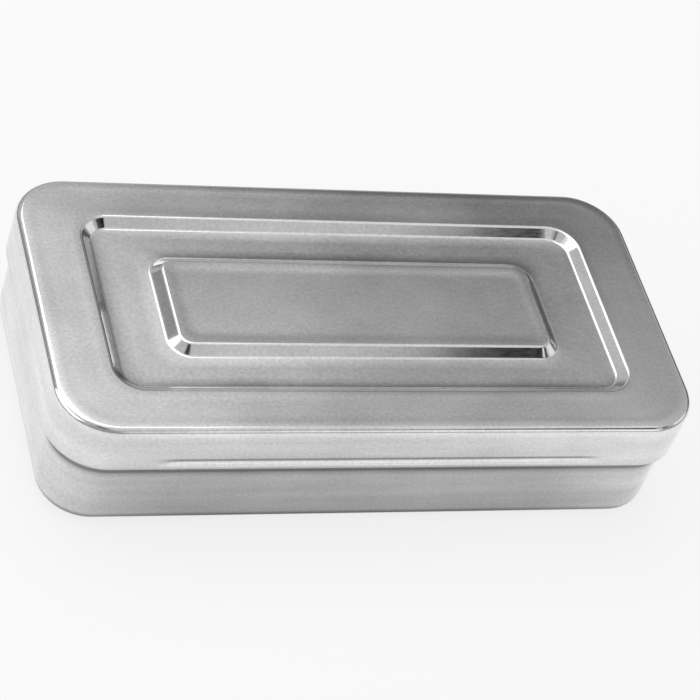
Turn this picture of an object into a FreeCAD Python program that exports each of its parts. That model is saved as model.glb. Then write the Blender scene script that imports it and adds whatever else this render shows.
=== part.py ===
import FreeCAD, Part
import math
import os

import Sketcher

# Instrument box: a drawn steel tray with a hemmed rim and a drawn lid that slips over it.
# Origin at the middle of the tray's underside, +X along the box, +Z up, lid closed.
# Lengths are in millimetres.

# Driving sizes: name, value, meaning
SIZES = (
    ("lid_length", 203.0, "lid outside, along X"),
    ("lid_width", 102.0, "lid outside, along Y"),
    ("overall_height", 44.0, "from the tray's underside to the lid's top, closed"),
    ("corner_radius", 17.5, "lid outside corner, seen from above"),
    ("sheet", 0.6, "steel sheet of both pieces"),
    ("skirt_height", 17.0, "lid's side wall, outside"),
    ("lid_edge_radius", 2.0, "bend between the lid's top and its skirt, outside"),
    ("recess_length", 165.4, "mouth of the pressed recess, along X"),
    ("recess_width", 70.4, "mouth of the pressed recess, along Y"),
    ("recess_corner", 9.5, "corner of the recess's mouth, seen from above"),
    ("recess_depth", 2.5, "from the lid's border down to the recess's floor"),
    ("ramp_width", 3.2, "slope round the recess and round the plateau, seen from above"),
    ("plateau_length", 120.0, "flat top of the raised middle, along X"),
    ("plateau_width", 34.0, "flat top of the raised middle, along Y"),
    ("plateau_corner", 4.0, "corner of the plateau's top, seen from above"),
    ("press_radius", 1.6, "bends at the top and foot of each slope"),
    ("groove_length", 136.0, "pressed groove along each long side of the skirt"),
    ("groove_depth", 0.5, "how far the groove is pressed inwards"),
    ("groove_radius", 2.6, "round section of the groove, outside"),
    ("groove_rise", 3.0, "groove's middle above the skirt's lower edge"),
    ("lid_clearance", 0.3, "gap between the groove's crest and the tray's hem"),
    ("hem_height", 4.0, "fold of the tray's rim, below the middle of its round top"),
    ("tray_foot_radius", 5.0, "bend between the tray's wall and its floor, outside"),
)

# The lid's sheet, the groove's depth, the clearance and the hem's sheet lie between the lid's outer
# face and the tray's.
TRAY_INSET = "(2 * Sizes.sheet + Sizes.groove_depth + Sizes.lid_clearance)"
TRAY_LENGTH = "Sizes.lid_length - 2 * " + TRAY_INSET
TRAY_WIDTH = "Sizes.lid_width - 2 * " + TRAY_INSET
TRAY_CORNER = "Sizes.corner_radius - " + TRAY_INSET

# The lid's border lies on the hem's round top. A lid edge rounder than the inset would meet the
# hem with its bend, and the rim is lower by what that takes.
HEM_TO_BEND = "max(0; Sizes.lid_edge_radius - 2 * Sizes.sheet)"
BEND_OVERHANG = "max(0; Sizes.lid_edge_radius - " + TRAY_INSET + ")"
RIM_DROP = "(" + HEM_TO_BEND + " - sqrt(" + HEM_TO_BEND + "^2 - " + BEND_OVERHANG + "^2))"
RIM_MIDDLE = "Sizes.overall_height - 2 * Sizes.sheet - " + RIM_DROP
SKIRT_FOOT = "Sizes.overall_height - Sizes.skirt_height"

TOLERANCE = 1e-4

doc = FreeCAD.newDocument("InstrumentBox")


def make_sizes():
    """Put the driving sizes in a sheet, one row each, with the name as the value's alias."""
    sheet = doc.addObject("Spreadsheet::Sheet", "Sizes")
    for row, (name, value, meaning) in enumerate(SIZES, start=1):
        sheet.set("A%d" % row, name)
        sheet.set("B%d" % row, str(value))
        sheet.set("C%d" % row, meaning)
        sheet.setAlias("B%d" % row, name)
    doc.recompute()
    return sheet


def size_of(expression):
    """Work out an expression on the sheet as a plain number."""
    result = sizes.evalExpression(expression)
    return float(getattr(result, "Value", result))


def add_body(label):
    """Start an empty body that carries the sub-part's name."""
    body = doc.addObject("PartDesign::Body", label)
    body.Label = label
    return body


def origin_plane(body, role):
    """Find one of the body's own origin planes by its role."""
    return next(item for item in body.Origin.OriginFeatures if item.Role == role)


def add_sketch(body, name, role="XY_Plane", offset=("0", "0", "0")):
    """Attach a sketch to an origin plane, moved in the plane's own axes by three expressions."""
    sketch = body.newObject("Sketcher::SketchObject", name)
    sketch.AttachmentSupport = (origin_plane(body, role), [""])
    sketch.MapMode = "FlatFace"
    for axis, expression in zip("xyz", offset):
        sketch.setExpression("AttachmentOffset.Base." + axis, expression)
    return sketch


def name_dimension(sketch, name, constraint, expression):
    """Add a dimension to a sketch and drive it from the sheet."""
    index = sketch.addConstraint(constraint)
    sketch.renameConstraint(index, name)
    sketch.setExpression("Constraints." + name, expression)


def draw_rounded_rectangle(sketch, length, width, corner):
    """Draw a rectangle with round corners about the sketch's origin, from three expressions."""
    radius = size_of(corner)
    side_x = size_of(length) / 2 - radius
    side_y = size_of(width) / 2 - radius
    turns = ((1, -1), (1, 1), (-1, 1), (-1, -1))
    centres = [FreeCAD.Vector(along_x * side_x, along_y * side_y, 0) for along_x, along_y in turns]
    for quarter, centre in enumerate(centres):
        start_angle = (quarter - 1) * math.pi / 2
        end_angle = start_angle + math.pi / 2
        circle = Part.Circle(centre, FreeCAD.Vector(0, 0, 1), radius)
        outward = FreeCAD.Vector(math.cos(end_angle), math.sin(end_angle), 0) * radius
        next_centre = centres[(quarter + 1) % 4]
        sketch.addGeometry(Part.ArcOfCircle(circle, start_angle, end_angle), False)
        sketch.addGeometry(Part.LineSegment(centre + outward, next_centre + outward), False)
    for item in range(8):
        sketch.addConstraint(Sketcher.Constraint("Tangent", item, 2, (item + 1) % 8, 1))
    for line, direction in ((1, "Vertical"), (3, "Horizontal"), (5, "Vertical"), (7, "Horizontal")):
        sketch.addConstraint(Sketcher.Constraint(direction, line))
    for arc in (2, 4, 6):
        sketch.addConstraint(Sketcher.Constraint("Equal", 0, arc))
    sketch.addConstraint(Sketcher.Constraint("Symmetric", 1, 1, 5, 1, -1, 1))
    name_dimension(sketch, "Corner", Sketcher.Constraint("Radius", 0, radius), corner)
    name_dimension(
        sketch, "Length", Sketcher.Constraint("DistanceX", 5, 1, 1, 1, size_of(length)), length
    )
    name_dimension(
        sketch, "Width", Sketcher.Constraint("DistanceY", 7, 1, 3, 1, size_of(width)), width
    )


def add_pad(body, name, sketch, height, taper="0", downwards=False):
    """Raise a sketch to a solid, its sides leaning in by the taper."""
    pad = body.newObject("PartDesign::Pad", name)
    pad.Profile = sketch
    pad.Reversed = downwards
    pad.setExpression("Length", height)
    pad.setExpression("TaperAngle", taper)
    return pad


def add_fillet(body, name, radius, belongs):
    """Round the edges of the body's last feature that belong, judged by their box."""
    doc.recompute()
    base = body.Tip
    names = [
        "Edge%d" % number
        for number, edge in enumerate(base.Shape.Edges, start=1)
        if belongs(edge.BoundBox)
    ]
    fillet = body.newObject("PartDesign::Fillet", name)
    fillet.Base = (base, names)
    fillet.setExpression("Radius", radius)
    return fillet


def add_shell(body, name, opening):
    """Hollow the body inwards to the sheet's thickness, open at its flat face at a height."""
    doc.recompute()
    base = body.Tip
    belongs = flat_at(opening)
    names = [
        "Face%d" % number
        for number, face in enumerate(base.Shape.Faces, start=1)
        if belongs(face.BoundBox)
    ]
    shell = body.newObject("PartDesign::Thickness", name)
    shell.Base = (base, names)
    shell.Mode = "Skin"
    shell.Join = "Intersection"
    shell.Reversed = True
    shell.setExpression("Value", "Sizes.sheet")
    return shell


def flat_at(height):
    """Make a test for edges and faces that lie level at a height, given as an expression."""
    level = size_of(height)
    return lambda box: abs(box.ZMin - level) < TOLERANCE and abs(box.ZMax - level) < TOLERANCE


# Lid: outer form first, then hollowed from below to one sheet's thickness
def make_lid():
    """Draw the lid: skirt, pressed recess round a raised plateau, and a groove on each long side."""
    body = add_body("lid")
    lid_top = ("0", "0", "Sizes.overall_height")
    recess_floor = ("0", "0", "Sizes.overall_height - Sizes.recess_depth")
    slope = "atan(Sizes.ramp_width / Sizes.recess_depth)"

    outline = add_sketch(body, "LidOutline", offset=lid_top)
    draw_rounded_rectangle(outline, "Sizes.lid_length", "Sizes.lid_width", "Sizes.corner_radius")
    add_pad(body, "LidBlank", outline, "Sizes.skirt_height", downwards=True)
    add_fillet(body, "LidEdge", "Sizes.lid_edge_radius", flat_at("Sizes.overall_height"))

    mouth = add_sketch(body, "RecessMouth", offset=lid_top)
    draw_rounded_rectangle(mouth, "Sizes.recess_length", "Sizes.recess_width", "Sizes.recess_corner")
    recess = body.newObject("PartDesign::Pocket", "Recess")
    recess.Profile = mouth
    recess.setExpression("Length", "Sizes.recess_depth")
    recess.setExpression("TaperAngle", "-" + slope)

    foot = add_sketch(body, "PlateauFoot", offset=recess_floor)
    draw_rounded_rectangle(
        foot,
        "Sizes.plateau_length + 2 * Sizes.ramp_width",
        "Sizes.plateau_width + 2 * Sizes.ramp_width",
        "Sizes.plateau_corner + Sizes.ramp_width",
    )
    add_pad(body, "Plateau", foot, "Sizes.recess_depth", taper="-" + slope)

    reach_x = size_of("Sizes.recess_length") / 2 + TOLERANCE
    at_top = flat_at("Sizes.overall_height")
    at_floor = flat_at(recess_floor[2])
    add_fillet(
        body,
        "PressedBends",
        "Sizes.press_radius",
        lambda box: (at_top(box) or at_floor(box)) and max(-box.XMin, box.XMax) < reach_x,
    )

    add_shell(body, "LidSheet", SKIRT_FOOT)
    add_side_grooves(body)
    return body


def add_side_grooves(body):
    """Press a round-ended groove into each long side of the skirt, to grip the tray's hem."""
    axis = (
        "0",
        "-(Sizes.lid_width / 2 + Sizes.groove_radius - Sizes.groove_depth)",
        SKIRT_FOOT + " + Sizes.groove_rise",
    )
    crest_sketch = add_sketch(body, "CrestSection", offset=axis)
    draw_round_ended(crest_sketch, "Sizes.groove_radius + Sizes.sheet", "Sizes.groove_radius")
    crest = body.newObject("PartDesign::Revolution", "SideCrest")
    crest.Profile = crest_sketch
    crest.ReferenceAxis = (crest_sketch, ["H_Axis"])
    crest.Midplane = True
    crest.setExpression("Angle", "2 * acos(1 - Sizes.groove_depth / Sizes.groove_radius)")
    doc.recompute()

    groove_sketch = add_sketch(body, "GrooveSection", offset=axis)
    draw_round_ended(groove_sketch, "Sizes.groove_radius")
    groove = body.newObject("PartDesign::Groove", "SideGroove")
    groove.Profile = groove_sketch
    groove.ReferenceAxis = (groove_sketch, ["H_Axis"])
    groove.Angle = 360
    doc.recompute()

    pair = body.newObject("PartDesign::Mirrored", "SideGrooves")
    pair.Originals = [crest, groove]
    pair.MirrorPlane = (origin_plane(body, "XZ_Plane"), [""])
    body.Tip = pair


def draw_round_ended(sketch, end_radius, foot=None):
    """Draw the groove's lengthwise outline: a straight foot, on the axis or above it, and round ends."""
    radius = size_of(end_radius)
    rise = size_of(foot) if foot else 0.0
    half_run = size_of("Sizes.groove_length / 2 - Sizes.groove_radius")
    start_angle = math.asin(rise / radius)
    reach = half_run + radius * math.cos(start_angle)
    up = FreeCAD.Vector(0, 0, 1)
    left = FreeCAD.Vector(-half_run, 0, 0)
    right = FreeCAD.Vector(half_run, 0, 0)
    across = FreeCAD.Vector(0, radius, 0)
    foot_start = FreeCAD.Vector(-reach, rise, 0)
    foot_end = FreeCAD.Vector(reach, rise, 0)
    right_end = Part.Circle(right, up, radius)
    left_end = Part.Circle(left, up, radius)
    sketch.addGeometry(Part.LineSegment(foot_start, foot_end), False)
    sketch.addGeometry(Part.ArcOfCircle(right_end, start_angle, math.pi / 2), False)
    sketch.addGeometry(Part.LineSegment(right + across, left + across), False)
    sketch.addGeometry(Part.ArcOfCircle(left_end, math.pi / 2, math.pi - start_angle), False)
    sketch.addConstraint(Sketcher.Constraint("Coincident", 0, 2, 1, 1))
    sketch.addConstraint(Sketcher.Constraint("Tangent", 1, 2, 2, 1))
    sketch.addConstraint(Sketcher.Constraint("Tangent", 2, 2, 3, 1))
    sketch.addConstraint(Sketcher.Constraint("Coincident", 3, 2, 0, 1))
    sketch.addConstraint(Sketcher.Constraint("PointOnObject", 1, 3, -1))
    sketch.addConstraint(Sketcher.Constraint("Symmetric", 1, 3, 3, 3, -2))
    sketch.addConstraint(Sketcher.Constraint("Equal", 1, 3))
    sketch.addConstraint(Sketcher.Constraint("Horizontal", 0))
    if foot:
        name_dimension(sketch, "Rise", Sketcher.Constraint("DistanceY", -1, 1, 0, 1, rise), foot)
    else:
        sketch.addConstraint(Sketcher.Constraint("PointOnObject", 0, 1, -1))
    name_dimension(sketch, "EndRadius", Sketcher.Constraint("Radius", 1, radius), end_radius)
    name_dimension(
        sketch,
        "Run",
        Sketcher.Constraint("DistanceX", 3, 3, 1, 3, 2 * half_run),
        "Sizes.groove_length - 2 * Sizes.groove_radius",
    )


# Tray: outer form hollowed from above, then the hem folded outwards along its edge
def make_tray():
    """Draw the tray: flat floor, straight walls and a hemmed rim."""
    body = add_body("tray")
    outline = add_sketch(body, "TrayOutline")
    draw_rounded_rectangle(outline, TRAY_LENGTH, TRAY_WIDTH, TRAY_CORNER)
    add_pad(body, "TrayBlank", outline, RIM_MIDDLE)
    add_fillet(body, "TrayFoot", "Sizes.tray_foot_radius", flat_at("0"))
    add_shell(body, "TraySheet", RIM_MIDDLE)
    add_hem(body)
    return body


def add_hem(body):
    """Fold the sheet outwards and flat down along the top of the wall."""
    path = add_sketch(body, "HemPath", offset=("0", "0", RIM_MIDDLE))
    draw_rounded_rectangle(path, TRAY_LENGTH, TRAY_WIDTH, TRAY_CORNER)

    # The section stands on the wall's outer face where the path's short side begins.
    wall_x = "(" + TRAY_LENGTH + ") / 2"
    start_y = "(" + TRAY_WIDTH + ") / 2 - (" + TRAY_CORNER + ")"
    section = add_sketch(body, "HemSection", role="XZ_Plane", offset=(wall_x, RIM_MIDDLE, start_y))
    draw_hem(section)
    doc.recompute()

    hem = body.newObject("PartDesign::AdditivePipe", "Hem")
    hem.Profile = section
    hem.Spine = path
    return hem


def draw_hem(sketch):
    """Draw the fold: a half-round top over both sheets, and the outer sheet hanging below it."""
    sheet = size_of("Sizes.sheet")
    height = size_of("Sizes.hem_height")
    fold = FreeCAD.Vector(0, 0, 0)
    inner = FreeCAD.Vector(-sheet, 0, 0)
    outer = FreeCAD.Vector(sheet, 0, 0)
    down = FreeCAD.Vector(0, -height, 0)
    round_top = Part.Circle(fold, FreeCAD.Vector(0, 0, 1), sheet)
    sketch.addGeometry(Part.ArcOfCircle(round_top, 0, math.pi), False)
    corners = (inner, fold, fold + down, outer + down, outer)
    for start, end in zip(corners, corners[1:]):
        sketch.addGeometry(Part.LineSegment(start, end), False)
    for line in range(5):
        sketch.addConstraint(Sketcher.Constraint("Coincident", line, 2, (line + 1) % 5, 1))
    for line, direction in ((1, "Horizontal"), (2, "Vertical"), (3, "Horizontal"), (4, "Vertical")):
        sketch.addConstraint(Sketcher.Constraint(direction, line))
    sketch.addConstraint(Sketcher.Constraint("Coincident", 0, 3, -1, 1))
    sketch.addConstraint(Sketcher.Constraint("Coincident", 2, 1, -1, 1))
    sketch.addConstraint(Sketcher.Constraint("PointOnObject", 0, 1, -1))
    name_dimension(sketch, "Sheet", Sketcher.Constraint("Radius", 0, sheet), "Sizes.sheet")
    name_dimension(
        sketch, "Height", Sketcher.Constraint("DistanceY", 2, 2, 2, 1, height), "Sizes.hem_height"
    )


def check_document(bodies):
    """Stop if a feature failed or a sub-part isn't a sound solid."""
    for item in doc.Objects:
        if "Invalid" in item.State or "Error" in item.State:
            raise RuntimeError("%s failed: %s" % (item.Label, item.State))
    for body in bodies:
        if body.Shape.isNull() or not body.Shape.isValid() or len(body.Shape.Solids) != 1:
            raise RuntimeError("%s is not one sound solid" % body.Label)


sizes = make_sizes()
pieces = (make_tray(), make_lid())
doc.recompute()
check_document(pieces)
os.makedirs("parts", exist_ok=True)
for piece in pieces:
    piece.Shape.exportStep("parts/%s.step" % piece.Label)
    print("%s: %.0f cubic millimetres of steel" % (piece.Label, piece.Shape.Volume))
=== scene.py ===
"""Looks of the instrument box: a drawn steel tray and its slip-over lid, in metres."""

import logging
import math
from dataclasses import dataclass, replace
from enum import Enum
from typing import Any, Optional, Union

import bpy
from mathutils import Matrix, Vector


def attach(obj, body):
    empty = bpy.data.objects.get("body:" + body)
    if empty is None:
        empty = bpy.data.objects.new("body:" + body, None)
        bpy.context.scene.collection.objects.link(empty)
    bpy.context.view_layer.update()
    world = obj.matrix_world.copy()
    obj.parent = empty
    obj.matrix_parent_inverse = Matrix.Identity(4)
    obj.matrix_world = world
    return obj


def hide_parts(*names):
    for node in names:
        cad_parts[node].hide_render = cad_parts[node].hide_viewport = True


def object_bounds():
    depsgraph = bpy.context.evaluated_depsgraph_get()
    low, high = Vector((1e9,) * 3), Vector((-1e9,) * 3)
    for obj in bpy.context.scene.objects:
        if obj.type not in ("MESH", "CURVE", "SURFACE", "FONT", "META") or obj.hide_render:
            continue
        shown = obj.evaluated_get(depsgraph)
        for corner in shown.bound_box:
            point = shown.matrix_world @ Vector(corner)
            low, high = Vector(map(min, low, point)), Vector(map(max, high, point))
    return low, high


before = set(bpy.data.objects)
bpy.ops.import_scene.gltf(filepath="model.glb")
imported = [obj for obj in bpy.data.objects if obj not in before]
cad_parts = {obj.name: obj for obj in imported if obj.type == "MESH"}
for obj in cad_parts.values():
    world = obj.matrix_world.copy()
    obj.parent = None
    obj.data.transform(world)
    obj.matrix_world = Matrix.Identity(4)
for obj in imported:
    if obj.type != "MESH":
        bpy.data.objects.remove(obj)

LOG = logging.getLogger("instrument_box")
MM = 0.001

# What a node's input takes: another node's output, a number or a tuple of numbers
Socket = bpy.types.NodeSocket
Value = Union[Socket, float, tuple]

# How far from a piece's flat middle a face still counts as level with it, in millimetres
FLAT_REACH = 1.0
# How close two points of a sheet's seam lie to be welded, in millimetres
WELD = 0.002
# Spacing of the panels' bow, in millimetres
BOW_SPACING = 70.0
# How much a cut edge shines, where a bend has 1
CUT_SHINE = 0.5
# The rings across a cut edge: share of the way between the faces, and rise in millimetres
CUT_EDGE = ((0.08, 0.06), (0.25, 0.0), (0.75, 0.0), (0.92, 0.06))

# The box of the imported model, kept from straight after the load
CAD_BOX: tuple[Vector, Vector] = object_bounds()


class Slot(Enum):
    """The record's material slots."""

    TRAY = "tray_steel"
    LID = "lid_steel"


class Body(Enum):
    """The bodies that the pieces ride on."""

    BASE = "base"
    COVER = "cover"


class Graph:
    """A node tree with short calls to add and join its nodes."""

    def __init__(self, tree: bpy.types.NodeTree) -> None:
        """Start with a tree.

        Args:
            tree: The tree that the nodes go into.
        """
        self.tree = tree
        self.count = 0

    def node(self, kind: str, **settings: Any) -> bpy.types.Node:
        """Add a node.

        Args:
            kind: The node's type.
            **settings: Its properties by name.

        Returns:
            The new node.
        """
        made = self.tree.nodes.new(kind)
        for name, value in settings.items():
            setattr(made, name, value)
        made.location = (180 * (self.count % 12), -180 * (self.count // 12))
        self.count += 1
        return made

    def join(self, source: Value, target: Socket) -> None:
        """Link a socket to an input, or set the input to a plain value.

        Args:
            source: An output socket, a number or a tuple.
            target: The input socket.
        """
        if isinstance(source, Socket):
            self.tree.links.new(source, target)
        else:
            target.default_value = source

    def math(self, operation: str, *values: Value) -> Socket:
        """Add a Math node.

        Args:
            operation: The node's operation.
            *values: Its inputs, sockets or numbers.

        Returns:
            Its result.
        """
        made = self.node("ShaderNodeMath", operation=operation)
        for value, target in zip(values, made.inputs):
            self.join(value, target)
        return made.outputs[0]

    def vector(self, operation: str, *values: Value) -> Socket:
        """Add a Vector Math node.

        Args:
            operation: The node's operation.
            *values: Its inputs, sockets or tuples; a number goes to the scale of SCALE.

        Returns:
            Its vector result.
        """
        made = self.node("ShaderNodeVectorMath", operation=operation)
        targets = [made.inputs[0], made.inputs["Scale"]] if operation == "SCALE" else made.inputs
        for value, target in zip(values, targets):
            self.join(value, target)
        return made.outputs["Vector"]

    def blend(self, share: Value, low: Value, high: Value) -> Socket:
        """Move a share of 0 to 1 into a range.

        Args:
            share: The share, a socket.
            low: The value at 0.
            high: The value at 1.

        Returns:
            The value in the range.
        """
        made = self.node("ShaderNodeMapRange")
        self.join(share, made.inputs["Value"])
        self.join(low, made.inputs["To Min"])
        self.join(high, made.inputs["To Max"])
        return made.outputs[0]

    def part(self, vector: Value, axis: str) -> Socket:
        """Take one part of a vector.

        Args:
            vector: The vector.
            axis: The part's letter.

        Returns:
            The part.
        """
        made = self.node("ShaderNodeSeparateXYZ")
        self.join(vector, made.inputs[0])
        return made.outputs[axis]

    def dot(self, first: Value, second: Value) -> Socket:
        """Take the dot product of two vectors.

        Args:
            first: A vector.
            second: Another.

        Returns:
            The product.
        """
        made = self.node("ShaderNodeVectorMath", operation="DOT_PRODUCT")
        self.join(first, made.inputs[0])
        self.join(second, made.inputs[1])
        return made.outputs["Value"]

    def normal(self) -> Socket:
        """Read which way the surface faces."""
        return self.node("ShaderNodeNewGeometry").outputs["Normal"]

    def smooth(self, value: Value, low: float, high: float) -> Socket:
        """Rise softly from 0 to 1 while a value passes a range.

        Args:
            value: The value.
            low: Where the rise starts.
            high: Where it ends.

        Returns:
            The share of 0 to 1.
        """
        made = self.node("ShaderNodeMapRange", interpolation_type="SMOOTHSTEP")
        self.join(value, made.inputs["Value"])
        self.join(low, made.inputs["From Min"])
        self.join(high, made.inputs["From Max"])
        return made.outputs[0]

    def grey(self, tone: Value, tint: tuple[float, float, float] = (1.0, 1.0, 1.0)) -> Socket:
        """Turn a tone into a colour.

        Args:
            tone: The tone.
            tint: The share of it in red, green and blue.

        Returns:
            The colour.
        """
        made = self.node("ShaderNodeCombineColor")
        for target, share in zip(made.inputs, tint):
            self.join(self.math("MULTIPLY", tone, share), target)
        return made.outputs[0]


@dataclass(frozen=True)
class Outline:
    """A rectangle with round corners about the origin."""

    half_length: float
    half_width: float
    corner: float

    def grown(self, by: float) -> "Outline":
        """Offset the outline outwards.

        Args:
            by: The offset, inwards below 0.

        Returns:
            The offset outline.
        """
        corner = max(0.0, self.corner + by)
        return Outline(max(0.0, self.half_length + by), max(0.0, self.half_width + by), corner)

    def middle_line(self) -> "Outline":
        """Find the line along the middle that the rings close on."""
        return Outline(self.half_length - self.half_width, 0.0, 0.0)

    def towards(self, other: "Outline", share: float) -> "Outline":
        """Go part of the way to another outline.

        Args:
            other: The outline at a share of 1.
            share: How far to go.

        Returns:
            The outline between the two.
        """
        return Outline(
            self.half_length + (other.half_length - self.half_length) * share,
            self.half_width + (other.half_width - self.half_width) * share,
            self.corner + (other.corner - self.corner) * share,
        )


@dataclass(frozen=True)
class Station:
    """One ring of a drawn piece: its outline, its height and how the sheet lies there."""

    outline: Outline
    height: float
    lean: float = 0.0
    bend: float = 0.0
    free: float = 0.0
    press: float = 0.0

    def behind(self, thickness: float) -> "Station":
        """Find the same place on the sheet's other face.

        Args:
            thickness: The sheet's thickness.

        Returns:
            The ring on the other face.
        """
        return Station(
            self.outline.grown(-thickness * math.sin(self.lean)),
            self.height - thickness * math.cos(self.lean),
            self.lean,
            self.bend,
            self.free,
            self.press + thickness if self.press else 0.0,
        )


def turn(
    outline: Outline, height: float, start: float, end: float, radius: float, steps: int = 8
) -> list[Station]:
    """Round the profile's corner where two straight stretches meet.

    Args:
        outline: The outline where the stretches' lines meet.
        height: The height there.
        start: The lean of the sheet's normal before the bend, from upright outwards.
        end: Its lean after the bend.
        radius: The bend's radius on this face.
        steps: Its number of rings, less one.

    Returns:
        The bend's rings.
    """
    reach = radius * math.tan(abs(end - start) / 2)
    side = 1.0 if end > start else -1.0
    centre_out = -math.cos(start) * reach - side * radius * math.sin(start)
    centre_up = math.sin(start) * reach - side * radius * math.cos(start)
    rings = []
    for step in range(steps + 1):
        lean = start + (end - start) * step / steps
        out = centre_out + side * radius * math.sin(lean)
        up = centre_up + side * radius * math.cos(lean)
        rings.append(Station(outline.grown(out), height + up, lean, bend=1.0))
    return rings


def stretch(first: Station, last: Station, steps: int, free: float = 0.0) -> list[Station]:
    """Fill a flat stretch of the profile between two rings.

    Args:
        first: The ring before the stretch.
        last: The ring after it.
        steps: The number of spaces between rings.
        free: How much the middle of the stretch follows the panel's bow.

    Returns:
        The rings between the two.
    """
    rings = []
    for step in range(1, steps):
        share = step / steps
        outline = first.outline.towards(last.outline, share)
        height = first.height + (last.height - first.height) * share
        rings.append(Station(outline, height, first.lean, free=free))
    return rings


@dataclass(frozen=True)
class Perimeter:
    """How the rings are divided: steps round a corner and along each straight."""

    corner_steps: int = 14
    long_steps: int = 56
    short_steps: int = 24

    def marks(self) -> list[tuple[tuple[float, float], tuple[float, float]]]:
        """Walk once round a ring, from the middle of its right side.

        Returns:
            For each point, its place on the straights' span and its outward direction.
        """
        made = []
        quarters = (((1, -1), (1, 1)), ((1, 1), (-1, 1)), ((-1, 1), (-1, -1)), ((-1, -1), (1, -1)))
        for quarter, (start, end) in enumerate(quarters):
            angle = quarter * math.pi / 2
            outward = (round(math.cos(angle)), round(math.sin(angle)))
            steps = self.long_steps if outward[0] == 0 else self.short_steps
            for step in range(steps):
                share = step / steps
                place = tuple(a + (b - a) * share for a, b in zip(start, end))
                made.append((place, outward))
            for step in range(self.corner_steps):
                bent = angle + math.pi / 2 * step / self.corner_steps
                made.append((end, (math.cos(bent), math.sin(bent))))
        return made


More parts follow.
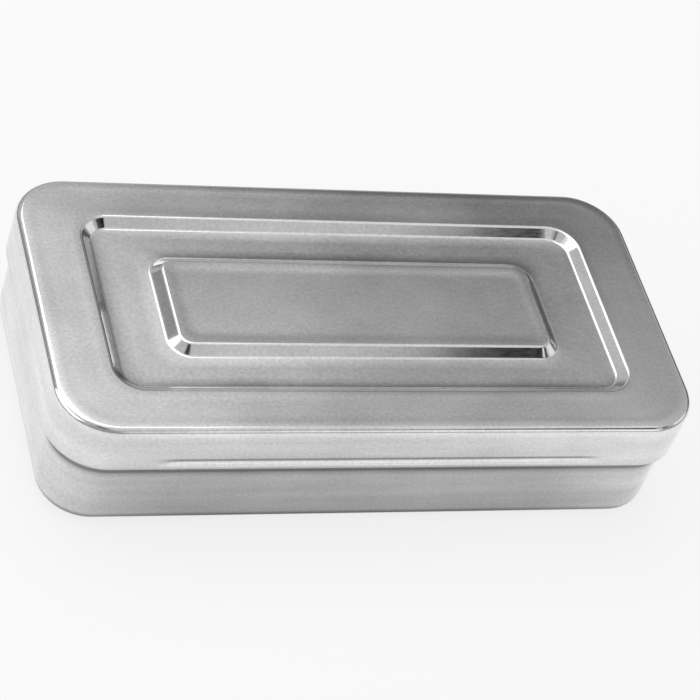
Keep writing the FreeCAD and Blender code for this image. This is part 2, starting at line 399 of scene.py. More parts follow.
class RingTree:
    """The Geometry Nodes tree that skins a stack of rings as one closed sheet-metal form."""

    NUMBERS = (
        ("Groove Half Run", "NodeSocketFloat"),
        ("Groove Depth", "NodeSocketFloat"),
        ("Groove Radius", "NodeSocketFloat"),
        ("Groove Height", "NodeSocketFloat"),
        ("Bow", "NodeSocketFloat"),
        ("Bow Spacing", "NodeSocketFloat"),
        ("Bow Seed", "NodeSocketFloat"),
        ("Weld", "NodeSocketFloat"),
        ("Perimeter", "NodeSocketObject"),
        ("Finish", "NodeSocketMaterial"),
    )

    # How softly the groove leaves the flat skirt, and how far in it shines like a bend
    GROOVE_SOFTNESS = 0.35 * MM
    GROOVE_SHINE = 0.3 * MM

    def __init__(self) -> None:
        """Build the tree."""
        self.tree = bpy.data.node_groups.new("DrawnSheet", "GeometryNodeTree")
        face = self.tree.interface
        face.new_socket("Geometry", in_out="INPUT", socket_type="NodeSocketGeometry")
        for name, kind in self.NUMBERS:
            face.new_socket(name, in_out="INPUT", socket_type=kind)
        face.new_socket("Geometry", in_out="OUTPUT", socket_type="NodeSocketGeometry")
        self.graph = Graph(self.tree)
        self.given = self.graph.node("NodeGroupInput").outputs
        self.build()

    def sample(self, geometry: Value, name: str, kind: str, index: Value) -> Socket:
        """Read a named attribute of another mesh's point.

        Args:
            geometry: The mesh to read.
            name: The attribute.
            kind: Its data type.
            index: The point's index.

        Returns:
            The value.
        """
        named = self.graph.node("GeometryNodeInputNamedAttribute", data_type=kind)
        named.inputs["Name"].default_value = name
        made = self.graph.node("GeometryNodeSampleIndex", data_type=kind)
        self.graph.join(geometry, made.inputs["Geometry"])
        self.graph.join(named.outputs["Attribute"], made.inputs["Value"])
        self.graph.join(index, made.inputs["Index"])
        return made.outputs["Value"]

    def points_in(self, geometry: Value) -> Socket:
        """Count a mesh's points.

        Args:
            geometry: The mesh.

        Returns:
            The count.
        """
        made = self.graph.node("GeometryNodeAttributeDomainSize")
        self.graph.join(geometry, made.inputs["Geometry"])
        return made.outputs["Point Count"]

    def pressed(self, place: Value, height: Value, press: Value) -> Socket:
        """Work out how far the side groove presses a point of the skirt inwards.

        Args:
            place: The point's X.
            height: Its height.
            press: The groove's radius on this face of the sheet.

        Returns:
            The inset, 0 away from the groove.
        """
        g = self.graph
        past_end = g.math("SUBTRACT", g.math("ABSOLUTE", place), self.given["Groove Half Run"])
        past_end = g.math("MAXIMUM", past_end, 0.0)
        above = g.math("SUBTRACT", height, self.given["Groove Height"])
        left = g.math("MULTIPLY", press, press)
        left = g.math("SUBTRACT", left, g.math("MULTIPLY", past_end, past_end))
        left = g.math("SUBTRACT", left, g.math("MULTIPLY", above, above))
        reach = g.math("SQRT", g.math("MAXIMUM", left, 0.0))
        rest = g.math("SUBTRACT", press, self.given["Groove Depth"])
        inset = g.math("SUBTRACT", reach, rest)
        soft = g.math("SMOOTH_MAX", inset, 0.0, self.GROOVE_SOFTNESS)
        inside = g.math("GREATER_THAN", press, 0.0)
        return g.math("MULTIPLY", soft, inside)

    def bowed(self, place: Value, free: Value) -> Socket:
        """Work out how far a free stretch of the panel has sunk from flat.

        Args:
            place: The point, as if the sheet were flat.
            free: How much the point follows.

        Returns:
            The drop.
        """
        g = self.graph
        noise = g.node("ShaderNodeTexNoise", noise_dimensions="4D", normalize=True)
        flat = g.vector("MULTIPLY", place, (1.0, 1.0, 0.0))
        scaled = g.vector("SCALE", flat, g.math("DIVIDE", 1.0, self.given["Bow Spacing"]))
        g.join(scaled, noise.inputs["Vector"])
        g.join(self.given["Bow Seed"], noise.inputs["W"])
        noise.inputs["Scale"].default_value = 1.0
        noise.inputs["Detail"].default_value = 0.0
        drop = g.math("MULTIPLY", noise.outputs[0], self.given["Bow"])
        return g.math("MULTIPLY", drop, free)

    def grid(self, rings: Socket, marks: Socket) -> tuple[Socket, Socket, Socket]:
        """Make a flat grid with a column for each mark, and one more that closes the round.

        Args:
            rings: The helper with a point for each ring.
            marks: The helper with a point for each mark.

        Returns:
            The grid, and at each of its points the index of its ring and of its mark.
        """
        g = self.graph
        ring_count = self.points_in(rings)
        mark_count = self.points_in(marks)
        made = g.node("GeometryNodeMeshGrid")
        g.join(g.math("ADD", mark_count, 1), made.inputs["Vertices X"])
        g.join(ring_count, made.inputs["Vertices Y"])
        index = g.node("GeometryNodeInputIndex").outputs[0]
        column = g.math("FLOOR", g.math("DIVIDE", g.math("ADD", index, 0.5), ring_count))
        ring = g.math("SUBTRACT", index, g.math("MULTIPLY", column, ring_count))
        column = g.math("MODULO", column, mark_count)
        ring = self.whole(g.math("ADD", ring, 0.5))
        column = self.whole(g.math("ADD", column, 0.5))
        return made.outputs["Mesh"], ring, column

    def build(self) -> None:
        """Add the nodes: a grid of rings and columns, its places, its attributes and its finish."""
        g = self.graph
        rings = self.given["Geometry"]
        info = g.node("GeometryNodeObjectInfo", transform_space="ORIGINAL")
        g.join(self.given["Perimeter"], info.inputs["Object"])
        marks = info.outputs["Geometry"]
        grid, ring, column = self.grid(rings, marks)

        size = self.sample(rings, "outline", "FLOAT_VECTOR", ring)
        span = self.sample(marks, "span", "FLOAT_VECTOR", column)
        outward = self.sample(marks, "outward", "FLOAT_VECTOR", column)
        corner = g.part(size, "Z")
        straight = g.vector("SUBTRACT", size, self.spread(corner))
        place = g.vector("ADD", g.vector("MULTIPLY", span, straight), g.vector("SCALE", outward, corner))

        height = self.sample(rings, "height", "FLOAT", ring)
        inset = self.pressed(g.part(place, "X"), height, self.sample(rings, "press", "FLOAT", ring))
        drop = self.bowed(place, self.sample(rings, "free", "FLOAT", ring))
        inwards = g.vector("SCALE", outward, g.math("MULTIPLY", inset, -1.0))
        flat = g.vector("MULTIPLY", g.vector("ADD", place, inwards), (1.0, 1.0, 0.0))
        upright = g.vector("SCALE", (0.0, 0.0, 1.0), g.math("SUBTRACT", height, drop))
        moved = g.node("GeometryNodeSetPosition")
        g.join(grid, moved.inputs["Geometry"])
        g.join(g.vector("ADD", flat, upright), moved.inputs["Position"])

        unrolled = self.sample(rings, "unrolled", "FLOAT", ring)
        blank = g.vector("ADD", place, g.vector("SCALE", outward, unrolled))
        stored = self.store(moved.outputs["Geometry"], "blank", "FLOAT_VECTOR", blank)
        pressed = g.math("MINIMUM", g.math("MULTIPLY", inset, 1.0 / self.GROOVE_SHINE), 1.0)
        bend = g.math("MAXIMUM", self.sample(rings, "bend", "FLOAT", ring), pressed)
        self.close(self.store(stored, "bend", "FLOAT", bend))

    def close(self, sheet: Socket) -> None:
        """Weld the grid's seam, shade it smooth, give it its finish and hand it out.

        Args:
            sheet: The grid in its place, with its attributes.
        """
        g = self.graph
        merged = g.node("GeometryNodeMergeByDistance")
        g.join(sheet, merged.inputs["Geometry"])
        g.join(self.given["Weld"], merged.inputs["Distance"])
        smooth = g.node("GeometryNodeSetShadeSmooth")
        g.join(merged.outputs["Geometry"], smooth.inputs["Geometry"])
        real = g.node("GeometryNodeRealizeInstances")
        g.join(smooth.outputs["Geometry"], real.inputs["Geometry"])
        dressed = g.node("GeometryNodeSetMaterial")
        g.join(real.outputs["Geometry"], dressed.inputs["Geometry"])
        g.join(self.given["Finish"], dressed.inputs["Material"])
        end = g.node("NodeGroupOutput")
        g.join(dressed.outputs["Geometry"], end.inputs["Geometry"])

    def whole(self, value: Value) -> Socket:
        """Cut a number down to a whole one, for an index.

        Args:
            value: The number.

        Returns:
            The whole number.
        """
        made = self.graph.node("FunctionNodeFloatToInt", rounding_mode="FLOOR")
        self.graph.join(value, made.inputs[0])
        return made.outputs[0]

    def spread(self, value: Value) -> Socket:
        """Put one number in all three parts of a vector.

        Args:
            value: The number.

        Returns:
            The vector.
        """
        made = self.graph.node("ShaderNodeCombineXYZ")
        for target in made.inputs:
            self.graph.join(value, target)
        return made.outputs[0]

    def store(self, geometry: Value, name: str, kind: str, value: Value) -> Socket:
        """Store a named attribute on the points.

        Args:
            geometry: The mesh.
            name: The attribute.
            kind: Its data type.
            value: The field.

        Returns:
            The mesh with the attribute.
        """
        made = self.graph.node("GeometryNodeStoreNamedAttribute", data_type=kind, domain="POINT")
        made.inputs["Name"].default_value = name
        self.graph.join(geometry, made.inputs["Geometry"])
        self.graph.join(value, made.inputs["Value"])
        return made.outputs["Geometry"]

    def make(self, name: str, rings: bpy.types.Object, settings: dict[str, Any]) -> bpy.types.Object:
        """Run the tree on a stack of rings and keep the result as a plain mesh.

        Args:
            name: The new piece's name.
            rings: The helper object that holds the rings; it is removed.
            settings: The tree's inputs by name.

        Returns:
            The piece.
        """
        modifier = rings.modifiers.new("Sheet", "NODES")
        modifier.node_group = self.tree
        for item in self.tree.interface.items_tree:
            if item.item_type == "SOCKET" and item.in_out == "INPUT" and item.name in settings:
                modifier[item.identifier] = settings[item.name]
        bpy.context.view_layer.update()
        graph = bpy.context.evaluated_depsgraph_get()
        mesh = bpy.data.meshes.new_from_object(rings.evaluated_get(graph), depsgraph=graph)
        rings.modifiers.remove(modifier)
        bpy.data.objects.remove(rings)
        mesh.name = name
        piece = bpy.data.objects.new(name, mesh)
        bpy.context.scene.collection.objects.link(piece)
        return piece


def helper_mesh(name: str, columns: dict[str, tuple[str, list[Any]]]) -> bpy.types.Object:
    """Make a hidden object whose points carry attributes.

    Args:
        name: The object's name.
        columns: Attribute name to its data type and one value a point.

    Returns:
        The helper.
    """
    count = len(next(iter(columns.values()))[1])
    mesh = bpy.data.meshes.new(name)
    mesh.from_pydata([(0.0, 0.0, 0.0)] * count, [], [])
    for key, (kind, values) in columns.items():
        attribute = mesh.attributes.new(key, kind, "POINT")
        slot = "vector" if kind == "FLOAT_VECTOR" else "value"
        for item, value in zip(attribute.data, values):
            setattr(item, slot, value)
    made = bpy.data.objects.new(name, mesh)
    made.hide_render = True
    bpy.context.scene.collection.objects.link(made)
    return made


def ring_helper(stations: list[Station]) -> bpy.types.Object:
    """Put a profile's rings on a helper's points, in metres.

    Args:
        stations: The rings in order, in millimetres.

    Returns:
        The helper.
    """
    level = stations[0].height
    unrolled = [max(0.0, abs(s.height - level) - FLAT_REACH) * MM for s in stations]
    sizes = [
        (s.outline.half_length * MM, s.outline.half_width * MM, s.outline.corner * MM)
        for s in stations
    ]
    return helper_mesh(
        "rings",
        {
            "outline": ("FLOAT_VECTOR", sizes),
            "height": ("FLOAT", [s.height * MM for s in stations]),
            "unrolled": ("FLOAT", unrolled),
            "bend": ("FLOAT", [s.bend for s in stations]),
            "free": ("FLOAT", [s.free for s in stations]),
            "press": ("FLOAT", [s.press * MM for s in stations]),
        },
    )


def perimeter_helper(perimeter: Perimeter) -> bpy.types.Object:
    """Put the walk round a ring on a helper's points.

    Args:
        perimeter: How the ring is divided.

    Returns:
        The helper.
    """
    marks = perimeter.marks()
    return helper_mesh(
        "perimeter",
        {
            "span": ("FLOAT_VECTOR", [(*span, 0.0) for span, _ in marks]),
            "outward": ("FLOAT_VECTOR", [(*outward, 0.0) for _, outward in marks]),
        },
    )


@dataclass(frozen=True)
class Pattern:
    """A noise with its own waves a metre along each axis, and how far it moves what it marks."""

    scale: tuple[float, float, float]
    detail: float
    amount: float

    def read(self, g: Graph, place: Value, seed: float) -> Socket:
        """Add the noise.

        Args:
            g: The material's graph.
            place: The coordinates.
            seed: Where in the noise the piece lies.

        Returns:
            The pattern, about 0.5.
        """
        mapping = g.node("ShaderNodeMapping")
        mapping.inputs["Scale"].default_value = self.scale
        mapping.inputs["Location"].default_value = (seed, seed * 2, seed * 3)
        g.join(place, mapping.inputs["Vector"])
        made = g.node("ShaderNodeTexNoise")
        made.inputs["Scale"].default_value = 1.0
        made.inputs["Detail"].default_value = self.detail
        g.join(mapping.outputs[0], made.inputs["Vector"])
        return made.outputs[0]


def swayed(g: Graph, value: Value, pattern: Value, amount: float) -> Socket:
    """Move a value up and down with a pattern.

    Args:
        g: The material's graph.
        value: The value.
        pattern: The pattern, about 0.5.
        amount: The span that it moves over.

    Returns:
        The moved value.
    """
    return g.math("MULTIPLY_ADD", g.math("SUBTRACT", pattern, 0.5), amount, value)


@dataclass(frozen=True)
class PaintedGapShade:
    """A painted shade: the dark line on the tray's wall just below the lid's skirt, where the gap under
    the skirt lies in shade, in millimetres.
    """

    height: float
    core: float = 0.5
    reach: float = 2.6
    curve: float = 0.5
    darkest: float = 0.34

    def lay(self, g: Graph, place: Value, tone: Value) -> Socket:
        """Darken the outer face of the wall about the mark's height with painted shade.

        Args:
            g: The material's graph.
            place: The object coordinates.
            tone: The tone without the mark.

        Returns:
            The tone with it.
        """
        below = g.math("SUBTRACT", self.height * MM, g.part(place, "Z"))
        away = g.math("SUBTRACT", g.math("ABSOLUTE", below), self.core * MM)
        share = g.math("DIVIDE", g.math("MAXIMUM", away, 0.0), self.reach * MM)
        share = g.math("POWER", g.math("MINIMUM", share, 1.0), self.curve)
        inner_face = g.math("LESS_THAN", g.dot(place, g.normal()), 0.0)
        share = g.math("MAXIMUM", share, inner_face)
        return g.math("MULTIPLY", tone, g.blend(share, self.darkest, 1.0))


@dataclass(frozen=True)
class Pits:
    """A few small dark pits: the largest one's size in millimetres and the cells a metre."""

    size: float = 0.6
    a_metre: float = 42.0
    darkest: float = 0.45

    def lay(self, g: Graph, place: Value, tone: Value) -> Socket:
        """Scatter the pits, each of its own size.

        Args:
            g: The material's graph.
            place: The object coordinates.
            tone: The tone without the pits.

        Returns:
            The tone with them.
        """
        cells = g.node("ShaderNodeTexVoronoi", feature="F1")
        g.join(place, cells.inputs["Vector"])
        g.join(self.a_metre, cells.inputs["Scale"])
        size = g.math("MULTIPLY", g.part(cells.outputs["Color"], "X"), self.size * MM * self.a_metre)
        share = g.math("DIVIDE", cells.outputs["Distance"], size)
        return g.math("MULTIPLY", tone, g.blend(g.math("MINIMUM", share, 1.0), self.darkest, 1.0))


@dataclass(frozen=True)
class SteelFinish:
    """Satin steel: a fine mottle, grain along the sheet, burnished bends that are also a little lighter
    as a painted highlight, and a few pits.
    """

    name: str
    tone: float = 0.70
    tint: tuple[float, float, float] = (1.0, 1.0, 0.997)
    roughness: float = 0.19
    seed: float = 0.0
    grain: Pattern = Pattern((260.0, 2600.0, 1.0), 3.0, 0.05)
    mottle: Pattern = Pattern((1000.0, 1000.0, 1000.0), 2.0, 0.26)
    cloud: Pattern = Pattern((45.0, 60.0, 60.0), 3.0, 0.20)
    wiped: Pattern = Pattern((14.0, 14.0, 190.0), 3.0, 0.30)
    smear: Pattern = Pattern((26.0, 34.0, 40.0), 4.0, 0.16)
    grain_roughness: float = 0.08
    # Bends a little lighter in colour: partly burnish, partly a painted highlight
    bend_burnish_and_highlight_tone: float = 0.04
    bend_roughness: float = -0.08
    under_tone: float = 0.38
    under_rise: float = -3.0
    relief: float = 0.025
    relief_depth: float = 0.05
    mottle_relief: float = 0.6
    pits: Pits = Pits()
    # Painted shade below the lid's skirt, used on the tray
    painted_gap_shade: Optional[PaintedGapShade] = None

    def build(self) -> bpy.types.Material:
        """Make the material.

        Returns:
            The finish as nodes.
        """
        material = bpy.data.materials.new(self.name)
        material.use_nodes = True
        material.node_tree.nodes.clear()
        g = Graph(material.node_tree)
        blank = g.node("ShaderNodeAttribute", attribute_name="blank").outputs["Vector"]
        bend = g.node("ShaderNodeAttribute", attribute_name="bend").outputs["Fac"]
        place = g.node("ShaderNodeTexCoord").outputs["Object"]
        grain = self.grain.read(g, blank, self.seed)
        mottle = self.mottle.read(g, place, self.seed)

        shader = g.node("ShaderNodeBsdfPrincipled")
        shader.inputs["Metallic"].default_value = 1.0
        tone = self.toned(g, place, bend, grain, mottle)
        g.join(g.grey(tone, self.tint), shader.inputs["Base Color"])
        rough = swayed(g, self.roughness, self.smear.read(g, place, self.seed), self.smear.amount)
        rough = swayed(g, rough, grain, self.grain_roughness)
        rough = g.math("MULTIPLY_ADD", bend, self.bend_roughness, rough)
        g.join(rough, shader.inputs["Roughness"])
        bump = g.node("ShaderNodeBump")
        bump.inputs["Strength"].default_value = self.relief
        bump.inputs["Distance"].default_value = self.relief_depth * MM
        g.join(g.math("MULTIPLY_ADD", mottle, self.mottle_relief, grain), bump.inputs["Height"])
        g.join(bump.outputs[0], shader.inputs["Normal"])
        out = g.node("ShaderNodeOutputMaterial")
        g.join(shader.outputs[0], out.inputs["Surface"])
        return material

    def toned(self, g: Graph, place: Value, bend: Value, grain: Value, mottle: Value) -> Socket:
        """Work out the steel's tone with all its marks.

        Args:
            g: The material's graph.
            place: The object coordinates.
            bend: Where the sheet is bent.
            grain: The grain's pattern.
            mottle: The mottle's pattern.

        Returns:
            The tone.
        """
        tone = swayed(g, self.tone, grain, self.grain.amount)
        tone = swayed(g, tone, mottle, self.mottle.amount)
        for pattern in (self.cloud, self.wiped):
            tone = swayed(g, tone, pattern.read(g, place, self.seed), pattern.amount)
        # Lighter bends: burnish and a painted highlight
        tone = g.math("MULTIPLY_ADD", bend, self.bend_burnish_and_highlight_tone, tone)
        # The painted shade below the lid's skirt
        if self.painted_gap_shade:
            tone = self.painted_gap_shade.lay(g, place, tone)
        tone = self.pits.lay(g, place, tone)
        return g.math("MULTIPLY", tone, g.blend(self.underside(g, bend), 1.0, self.under_tone))

    def underside(self, g: Graph, bend: Value) -> Socket:
        """Find the bends that face down, where little light comes.

        Args:
            g: The material's graph.
            bend: Where the sheet is bent.

        Returns:
            The share of 0 to 1, highest on a bend that faces down.
        """
        facing = g.part(g.normal(), "Z")
        share = g.math("MULTIPLY", g.math("MAXIMUM", facing, -1.0), self.under_rise)
        share = g.math("MINIMUM", g.math("MAXIMUM", share, 0.0), 1.0)
        return g.math("MULTIPLY", share, bend)


@dataclass(frozen=True)
class SheetSizes:
    """Sizes that the lid and the tray share, in millimetres."""

    length: float
    width: float
    height: float
    corner: float = 17.5
    sheet: float = 0.6
    skirt: float = 17.0
    groove_depth: float = 0.5
    clearance: float = 0.3

    @property
    def inset(self) -> float:
        """From the lid's outer face to the tray's."""
        return 2 * self.sheet + self.groove_depth + self.clearance

    @property
    def skirt_foot(self) -> float:
        """Height of the skirt's lower edge."""
        return self.height - self.skirt


def cut_edge(outer: Station, inner: Station, height: float) -> list[Station]:
    """Round off the sheet's cut edge between its two faces.

    Args:
        outer: The last ring of the outer face.
        inner: The first ring of the inner face.
        height: Where the edge lies, level.

    Returns:
        The rings across the edge.
    """
    rings = []
    for share, rise in CUT_EDGE:
        outline = outer.outline.towards(inner.outline, share)
        press = outer.press + (inner.press - outer.press) * share
        rings.append(Station(outline, height + rise, math.pi / 2, bend=CUT_SHINE, press=press))
    return rings


@dataclass
class Lid:
    """The lid: a skirt, a border, a recess round a raised plateau and a groove on each long side.

    Sizes are in millimetres. The groove's rise is its middle's height over the skirt's lower edge, and
    its reach is how far above and below that the rings lie close together. A free stretch follows the
    panel's bow by its share of 0 to 1.
    """

    sizes: SheetSizes
    edge_radius: float = 2.0
    recess: Outline = Outline(82.7, 35.2, 9.5)
    plateau: Outline = Outline(60.0, 17.0, 4.0)
    depth: float = 2.5
    ramp: float = 3.2
    press_radius: float = 1.6
    groove_length: float = 136.0
    groove_radius: float = 2.6
    groove_rise: float = 3.0
    groove_reach: float = 2.4
    cut_round: float = 0.2
    bow: float = 0.22
    bow_seed: float = 3.0
    plateau_free: float = 1.0
    valley_free: float = 0.8
    border_free: float = 0.6
    plateau_steps: int = 7
    valley_steps: int = 6
    border_steps: int = 6
    edge_steps: int = 12
    skirt_steps: int = 6
    groove_steps: int = 20
    finish: SteelFinish = SteelFinish("lid_satin_steel")

    def outer_face(self) -> list[Station]:
        """List the rings of the outer face, from the plateau's middle to the skirt's lower edge.

        Returns:
            The rings.
        """
        top = self.sizes.height
        floor = top - self.depth
        slope = math.atan2(self.depth, self.ramp)
        rim = Outline(self.sizes.length / 2, self.sizes.width / 2, self.sizes.corner)
        middle = Station(self.plateau.middle_line(), top, free=self.plateau_free)
        plateau_top = turn(self.plateau, top, 0.0, slope, self.press_radius)
        plateau_foot = turn(self.plateau.grown(self.ramp), floor, slope, 0.0, self.press_radius)
        recess_foot = turn(self.recess.grown(-self.ramp), floor, 0.0, -slope, self.press_radius)
        mouth = turn(self.recess, top, -slope, 0.0, self.press_radius)
        edge = turn(rim, top, 0.0, math.pi / 2, self.edge_radius, self.edge_steps)
        rings = [middle]
        rings += stretch(middle, plateau_top[0], self.plateau_steps, self.plateau_free)
        rings += plateau_top + plateau_foot
        rings += stretch(plateau_foot[-1], recess_foot[0], self.valley_steps, self.valley_free)
        rings += recess_foot + mouth
        rings += stretch(mouth[-1], edge[0], self.border_steps, self.border_free)
        rings += edge
        rings += self.skirt(edge[-1])
        return rings

    def skirt(self, edge: Station) -> list[Station]:
        """List the rings down the skirt, close together across the groove.

        Args:
            edge: The last ring of the lid's edge bend.

        Returns:
            The rings below the bend.
        """
        start = self.sizes.skirt_foot + self.groove_rise + self.groove_reach
        drop = edge.height - start
        heights = [edge.height - drop * n / self.skirt_steps for n in range(1, self.skirt_steps + 1)]
        across = 2 * self.groove_reach
        heights += [start - across * n / self.groove_steps for n in range(1, self.groove_steps + 1)]
        heights.append(self.sizes.skirt_foot + self.cut_round)
        lean = math.pi / 2
        return [Station(edge.outline, height, lean, press=self.groove_radius) for height in heights]

    def stations(self) -> list[Station]:
        """List all rings: the outer face, the rounded cut edge and the inner face.

        Returns:
            The rings from the middle of the top to the middle of its underside.
        """
        outer = self.outer_face()
        inner = [ring.behind(self.sizes.sheet) for ring in reversed(outer)]
        return outer + cut_edge(outer[-1], inner[0], self.sizes.skirt_foot) + inner

    def build(self, tree: RingTree, perimeter: bpy.types.Object) -> bpy.types.Object:
        """Make the lid, dress it and let it ride on the cover.

        Args:
            tree: The tree that skins the rings.
            perimeter: The helper with the walk round a ring.

        Returns:
            The piece.
        """
        settings = {
            "Groove Half Run": (self.groove_length / 2 - self.groove_radius) * MM,
            "Groove Depth": self.sizes.groove_depth * MM,
            "Groove Radius": self.groove_radius * MM,
            "Groove Height": (self.sizes.skirt_foot + self.groove_rise) * MM,
            "Bow": self.bow * MM,
            "Bow Spacing": BOW_SPACING * MM,
            "Bow Seed": self.bow_seed,
            "Weld": WELD * MM,
            "Perimeter": perimeter,
            "Finish": self.finish.build(),
        }
        piece = tree.make("lid_shell", ring_helper(self.stations()), settings)
        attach(piece, Body.COVER.value)
        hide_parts("lid")
        return piece


@dataclass
class Tray:
    """The tray: a flat floor, a round foot, straight walls and a rim folded outwards into a hem.

    Sizes are in millimetres. The gap shade drop is from the lid's skirt down to the middle of the
    painted shade line below it.
    """

    sizes: SheetSizes
    foot_radius: float = 5.0
    hem_height: float = 4.0
    cut_round: float = 0.15
    fold_round: float = 0.06
    floor_steps: int = 8
    foot_steps: int = 12
    inside_steps: int = 14
    outside_steps: int = 12
    hem_steps: int = 12
    fold_steps: int = 5
    gap_shade_drop: float = 3.0
    finish: SteelFinish = SteelFinish("tray_satin_steel", tone=0.68, seed=5.0)

    def stations(self) -> list[Station]:
        """List the rings from the middle of the floor, over the rim, to the middle of the underside.

        Returns:
            The rings.
        """
        size = self.sizes
        wall = Outline(size.length / 2, size.width / 2, size.corner).grown(-size.inset)
        inside = wall.grown(-size.sheet)
        inside_radius = self.foot_radius - size.sheet
        upright = math.pi / 2
        floor = Station(wall.middle_line(), size.sheet)
        inner_foot = turn(inside, size.sheet, 0.0, -upright, inside_radius, self.foot_steps)
        foot = turn(wall, 0.0, upright, math.pi, self.foot_radius, self.foot_steps)
        under = Station(wall.middle_line(), 0.0, math.pi)
        hem = self.hem(wall)
        rings = [floor, *stretch(floor, inner_foot[0], self.floor_steps)]
        rings += inner_foot
        rings += stretch(inner_foot[-1], hem[0], self.inside_steps)
        rings += hem
        rings += stretch(hem[-1], foot[0], self.outside_steps)
        rings += foot
        rings += [*stretch(foot[-1], under, self.floor_steps), under]
        return rings

    def hem(self, wall: Outline) -> list[Station]:
        """List the rings of the folded rim: its round top, its outer sheet and its cut edge.

        Args:
            wall: The wall's outer outline.

        Returns:
            The rings from the inner face to the wall below the fold.
        """
        sheet = self.sizes.sheet
        upright = math.pi / 2
        rim = self.sizes.height - 2 * sheet
        foot = rim - self.hem_height
        rings = []
        for step in range(self.hem_steps + 1):
            lean = -upright + math.pi * step / self.hem_steps
            out = wall.grown(sheet * math.sin(lean))
            rings.append(Station(out, rim + sheet * math.cos(lean), lean, bend=1.0))
        cut = Station(wall.grown(sheet), foot + self.cut_round, upright, bend=CUT_SHINE)
        rings += [*stretch(rings[-1], cut, self.fold_steps), cut]
        rings.append(Station(wall.grown(sheet - self.cut_round), foot, math.pi, bend=CUT_SHINE))
        rings.append(Station(wall.grown(self.fold_round), foot, math.pi, bend=CUT_SHINE))
        rings.append(Station(wall, foot - self.fold_round, upright, bend=CUT_SHINE))
        return rings

    def build(self, tree: RingTree, perimeter: bpy.types.Object) -> bpy.types.Object:
        """Make the tray, dress it and let it ride on the base.

        Args:
            tree: The tree that skins the rings.
            perimeter: The helper with the walk round a ring.

        Returns:
            The piece.
        """
        # Painted shade on the tray's wall just below the lid's skirt
        painted_gap_shade = PaintedGapShade(self.sizes.skirt_foot - self.gap_shade_drop)
        settings = {
            "Bow": 0.0,
            "Bow Spacing": BOW_SPACING * MM,
            "Weld": WELD * MM,
            "Perimeter": perimeter,
            "Finish": replace(self.finish, painted_gap_shade=painted_gap_shade).build(),
        }
        piece = tree.make("tray_shell", ring_helper(self.stations()), settings)
        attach(piece, Body.BASE.value)
        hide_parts("tray")
        return piece


def direction(azimuth: float, elevation: float) -> Vector:
    """Find the direction of a compass turn from +Y towards +X and a height above the horizon.

    Args:
        azimuth: The turn, in degrees.
        elevation: The height, in degrees.

    Returns:
        The unit vector.
    """
    turned = math.radians(azimuth)
    raised = math.radians(elevation)
    level = math.cos(raised)
    return Vector((math.sin(turned) * level, math.cos(turned) * level, math.sin(raised)))


@dataclass(frozen=True)
class Softbox:
    """A soft lamp that faces the box, placed by the direction that it shines from."""

    name: str
    azimuth: float
    elevation: float
    distance: float
    width: float
    height: float
    power: float

    def build(self, target: Vector) -> None:
        """Hang the lamp.

        Args:
            target: The point that it faces.
        """
        lamp = bpy.data.lights.new(self.name, "AREA")
        lamp.shape = "RECTANGLE"
        lamp.size = self.width
        lamp.size_y = self.height
        lamp.energy = self.power
        holder = bpy.data.objects.new(self.name, lamp)
        bpy.context.scene.collection.objects.link(holder)
        away = direction(self.azimuth, self.elevation)
        holder.location = target + away * self.distance
        holder.rotation_euler = away.to_track_quat("Z", "Y").to_euler()


@dataclass(frozen=True)
class WallPatch:
    """A stretch of the room's wall with a tone of its own, placed by direction, in degrees."""

    azimuth: float
    elevation: float
    reach: float
    fade: float
    tone: float

    def lay(self, g: Graph, way: Value, under: Value) -> Socket:
        """Lay the patch over the tone that is there.

        Args:
            g: The room's graph.
            way: The direction looked in.
            under: The tone without the patch.

        Returns:
            The tone with it.
        """
        aim = g.dot(way, tuple(direction(self.azimuth, self.elevation)))
        outside = math.cos(math.radians(self.reach + self.fade))
        inside = math.cos(math.radians(self.reach))
        return g.blend(g.smooth(aim, outside, inside), under, self.tone)


@dataclass(frozen=True)
class FloorShade:
    """The shade in front of the box, as the metal's walls mirror it, in millimetres."""

    middle: tuple[float, float] = (0.0, -58.0)
    reach: tuple[float, float] = (118.0, 32.0)
    core: float = 0.45
    edge: float = 1.2
    darkest: float = 0.12
    lightest: float = 1.0

    def glow(self, g: Graph) -> Socket:
        """Work out the floor's own brightness by place.

        Args:
            g: The floor material's graph.

        Returns:
            The share of white, lowest in the shade.
        """
        place = g.node("ShaderNodeTexCoord").outputs["Object"]
        middle = (self.middle[0] * MM, self.middle[1] * MM, 0.0)
        reach = (self.reach[0] * MM, self.reach[1] * MM, 1.0)
        away = g.vector("DIVIDE", g.vector("SUBTRACT", place, middle), reach)
        length = g.node("ShaderNodeVectorMath", operation="LENGTH")
        g.join(away, length.inputs[0])
        share = g.smooth(length.outputs["Value"], self.core, self.edge)
        return g.blend(share, self.darkest, self.lightest)


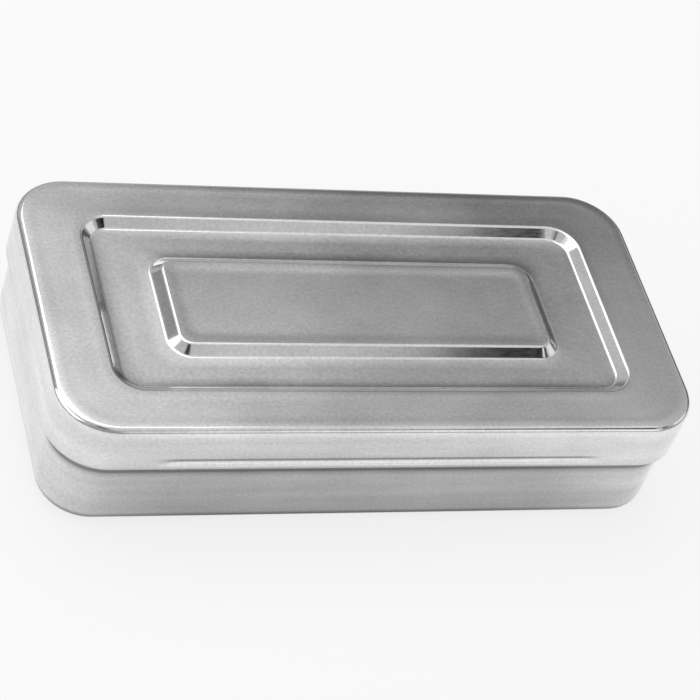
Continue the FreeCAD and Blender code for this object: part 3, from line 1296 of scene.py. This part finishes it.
@dataclass(frozen=True)
class Floor:
    """The pale paper that the box stands on."""

    half: float = 2.5
    paper: float = 0.86
    glow: float = 0.8
    shade: FloorShade = FloorShade()

    def build(self) -> None:
        """Lay the floor, which the camera sees almost white, with the box's shadow."""
        mesh = bpy.data.meshes.new("floor")
        half = self.half
        corners = [(-half, -half, 0.0), (half, -half, 0.0), (half, half, 0.0), (-half, half, 0.0)]
        mesh.from_pydata(corners, [], [(0, 1, 2, 3)])
        mesh.materials.append(self.material())
        floor = bpy.data.objects.new("floor", mesh)
        bpy.context.scene.collection.objects.link(floor)

    def material(self) -> bpy.types.Material:
        """Make the paper, partly white by itself for the camera and for what mirrors it.

        Returns:
            The paper as nodes.
        """
        material = bpy.data.materials.new("floor_paper")
        material.use_nodes = True
        material.node_tree.nodes.clear()
        g = Graph(material.node_tree)
        paper = g.node("ShaderNodeBsdfDiffuse")
        paper.inputs["Color"].default_value = (self.paper, self.paper, self.paper, 1.0)
        white = g.node("ShaderNodeEmission")
        white.inputs["Color"].default_value = (1.0, 1.0, 1.0, 1.0)
        path = g.node("ShaderNodeLightPath").outputs
        mirrored = g.math("MAXIMUM", path["Is Glossy Ray"], path["Is Transmission Ray"])
        mirrored = g.math("MULTIPLY", mirrored, self.shade.glow(g))
        seen = g.math("MULTIPLY", path["Is Camera Ray"], self.glow)
        mix = g.node("ShaderNodeMixShader")
        g.join(g.math("MAXIMUM", seen, mirrored), mix.inputs["Fac"])
        g.join(paper.outputs[0], mix.inputs[1])
        g.join(white.outputs[0], mix.inputs[2])
        out = g.node("ShaderNodeOutputMaterial")
        g.join(mix.outputs[0], out.inputs["Surface"])
        return material


@dataclass(frozen=True)
class Room:
    """The soft grey walls of the room, darkest at the horizon, with light and dark patches."""

    horizon_tone: float = 0.18
    horizon_rise: float = 0.4
    wall_tone: float = 0.60
    # Azimuth, elevation, reach, fade and tone of each, the later ones over the earlier
    patches: tuple[WallPatch, ...] = (
        WallPatch(165.0, 10.0, 40.0, 30.0, 0.40),
        WallPatch(29.5, 35.0, 4.0, 7.0, 0.16),
        WallPatch(48.0, 0.0, 18.0, 14.0, 0.10),
        WallPatch(100.0, 76.0, 16.0, 8.0, 0.85),
        WallPatch(90.0, 24.0, 12.0, 5.0, 1.00),
        WallPatch(-4.0, 66.0, 25.0, 1.6, 0.80),
        WallPatch(150.0, 24.0, 9.0, 8.0, 1.10),
        WallPatch(156.0, 53.0, 10.0, 6.0, 0.64),
        WallPatch(-163.0, 59.5, 6.5, 1.5, 0.05),
        WallPatch(118.0, 41.0, 6.0, 1.5, 0.04),
        WallPatch(130.5, 46.0, 8.9, 0.5, 0.0),
        WallPatch(127.5, 43.5, 4.0, 1.5, 1.00),
        WallPatch(-44.0, 23.5, 4.5, 4.0, 0.28),
    )

    def build(self) -> None:
        """Make the world."""
        world = bpy.data.worlds.new("room")
        bpy.context.scene.world = world
        world.use_nodes = True
        world.node_tree.nodes.clear()
        g = Graph(world.node_tree)
        way = g.node("ShaderNodeTexCoord").outputs["Generated"]
        rise = g.smooth(g.part(way, "Z"), 0.0, self.horizon_rise)
        tone = g.blend(rise, self.horizon_tone, self.wall_tone)
        for patch in self.patches:
            tone = patch.lay(g, way, tone)
        back = g.node("ShaderNodeBackground")
        g.join(g.grey(tone), back.inputs["Color"])
        back.inputs["Strength"].default_value = 1.0
        out = g.node("ShaderNodeOutputWorld")
        g.join(back.outputs[0], out.inputs["Surface"])


@dataclass(frozen=True)
class View:
    """The camera: its angles in degrees, its distances in millimetres and its focal length in pixels."""

    yaw: float = -29.5
    elevation: float = 43.74
    roll: float = 21.81
    distance: float = 840.3
    shift_right: float = 9.05
    shift_up: float = 15.38
    focal: float = 2651.6
    frame_width: float = 700.0
    sensor_width: float = 36.0
    clip: tuple[float, float] = (0.01, 20.0)

    def build(self) -> None:
        """Place the camera at the photograph's viewing angle."""
        data = bpy.data.cameras.new("view")
        data.sensor_width = self.sensor_width
        data.lens = self.focal * self.sensor_width / self.frame_width
        data.clip_start, data.clip_end = self.clip
        camera = bpy.data.objects.new("view", data)
        bpy.context.scene.collection.objects.link(camera)
        bpy.context.scene.camera = camera
        roll = math.radians(self.roll)
        back = direction(180.0 - self.yaw, self.elevation)
        right = (-back).cross(Vector((0.0, 0.0, 1.0))).normalized()
        up = right.cross(-back)
        rolled_right = right * math.cos(roll) + up * math.sin(roll)
        rolled_up = up * math.cos(roll) - right * math.sin(roll)
        axes = Matrix((rolled_right, rolled_up, back)).transposed()
        aside = rolled_right * self.shift_right + rolled_up * self.shift_up
        place = (back * self.distance + aside) * MM
        camera.matrix_world = Matrix.Translation(place) @ axes.to_4x4()


@dataclass(frozen=True)
class Studio:
    """Plain floor, plain room, soft lamps that face the box, and the camera."""

    floor: Floor = Floor()
    room: Room = Room()
    view: View = View()
    target: tuple[float, float, float] = (0.0, 0.0, 0.03)
    # Azimuth, elevation, distance, width, height and power of each
    lamps: tuple[Softbox, ...] = (
        Softbox("overhead", -25.0, 65.0, 1.2, 1.05, 0.9, 3.7),
        Softbox("left", -88.0, 30.0, 1.2, 1.4, 0.8, 3.2),
    )

    def build(self) -> None:
        """Set up the whole stage."""
        self.floor.build()
        self.room.build()
        for lamp in self.lamps:
            lamp.build(Vector(self.target))
        self.view.build()


def main() -> None:
    """Build the box's pieces and the stage."""
    logging.basicConfig(level=logging.INFO, format="%(name)s: %(message)s")
    bpy.context.scene.view_settings.view_transform = "Standard"
    low, high = CAD_BOX
    span = (high - low) / MM
    sizes = SheetSizes(length=span.x, width=span.y, height=span.z)
    tree = RingTree()
    perimeter = perimeter_helper(Perimeter())
    for part in (Tray(sizes), Lid(sizes)):
        piece = part.build(tree, perimeter)
        LOG.info("%s: %d faces", piece.name, len(piece.data.polygons))
    bpy.data.objects.remove(perimeter)
    Studio().build()


if __name__ == "__main__":
    main()
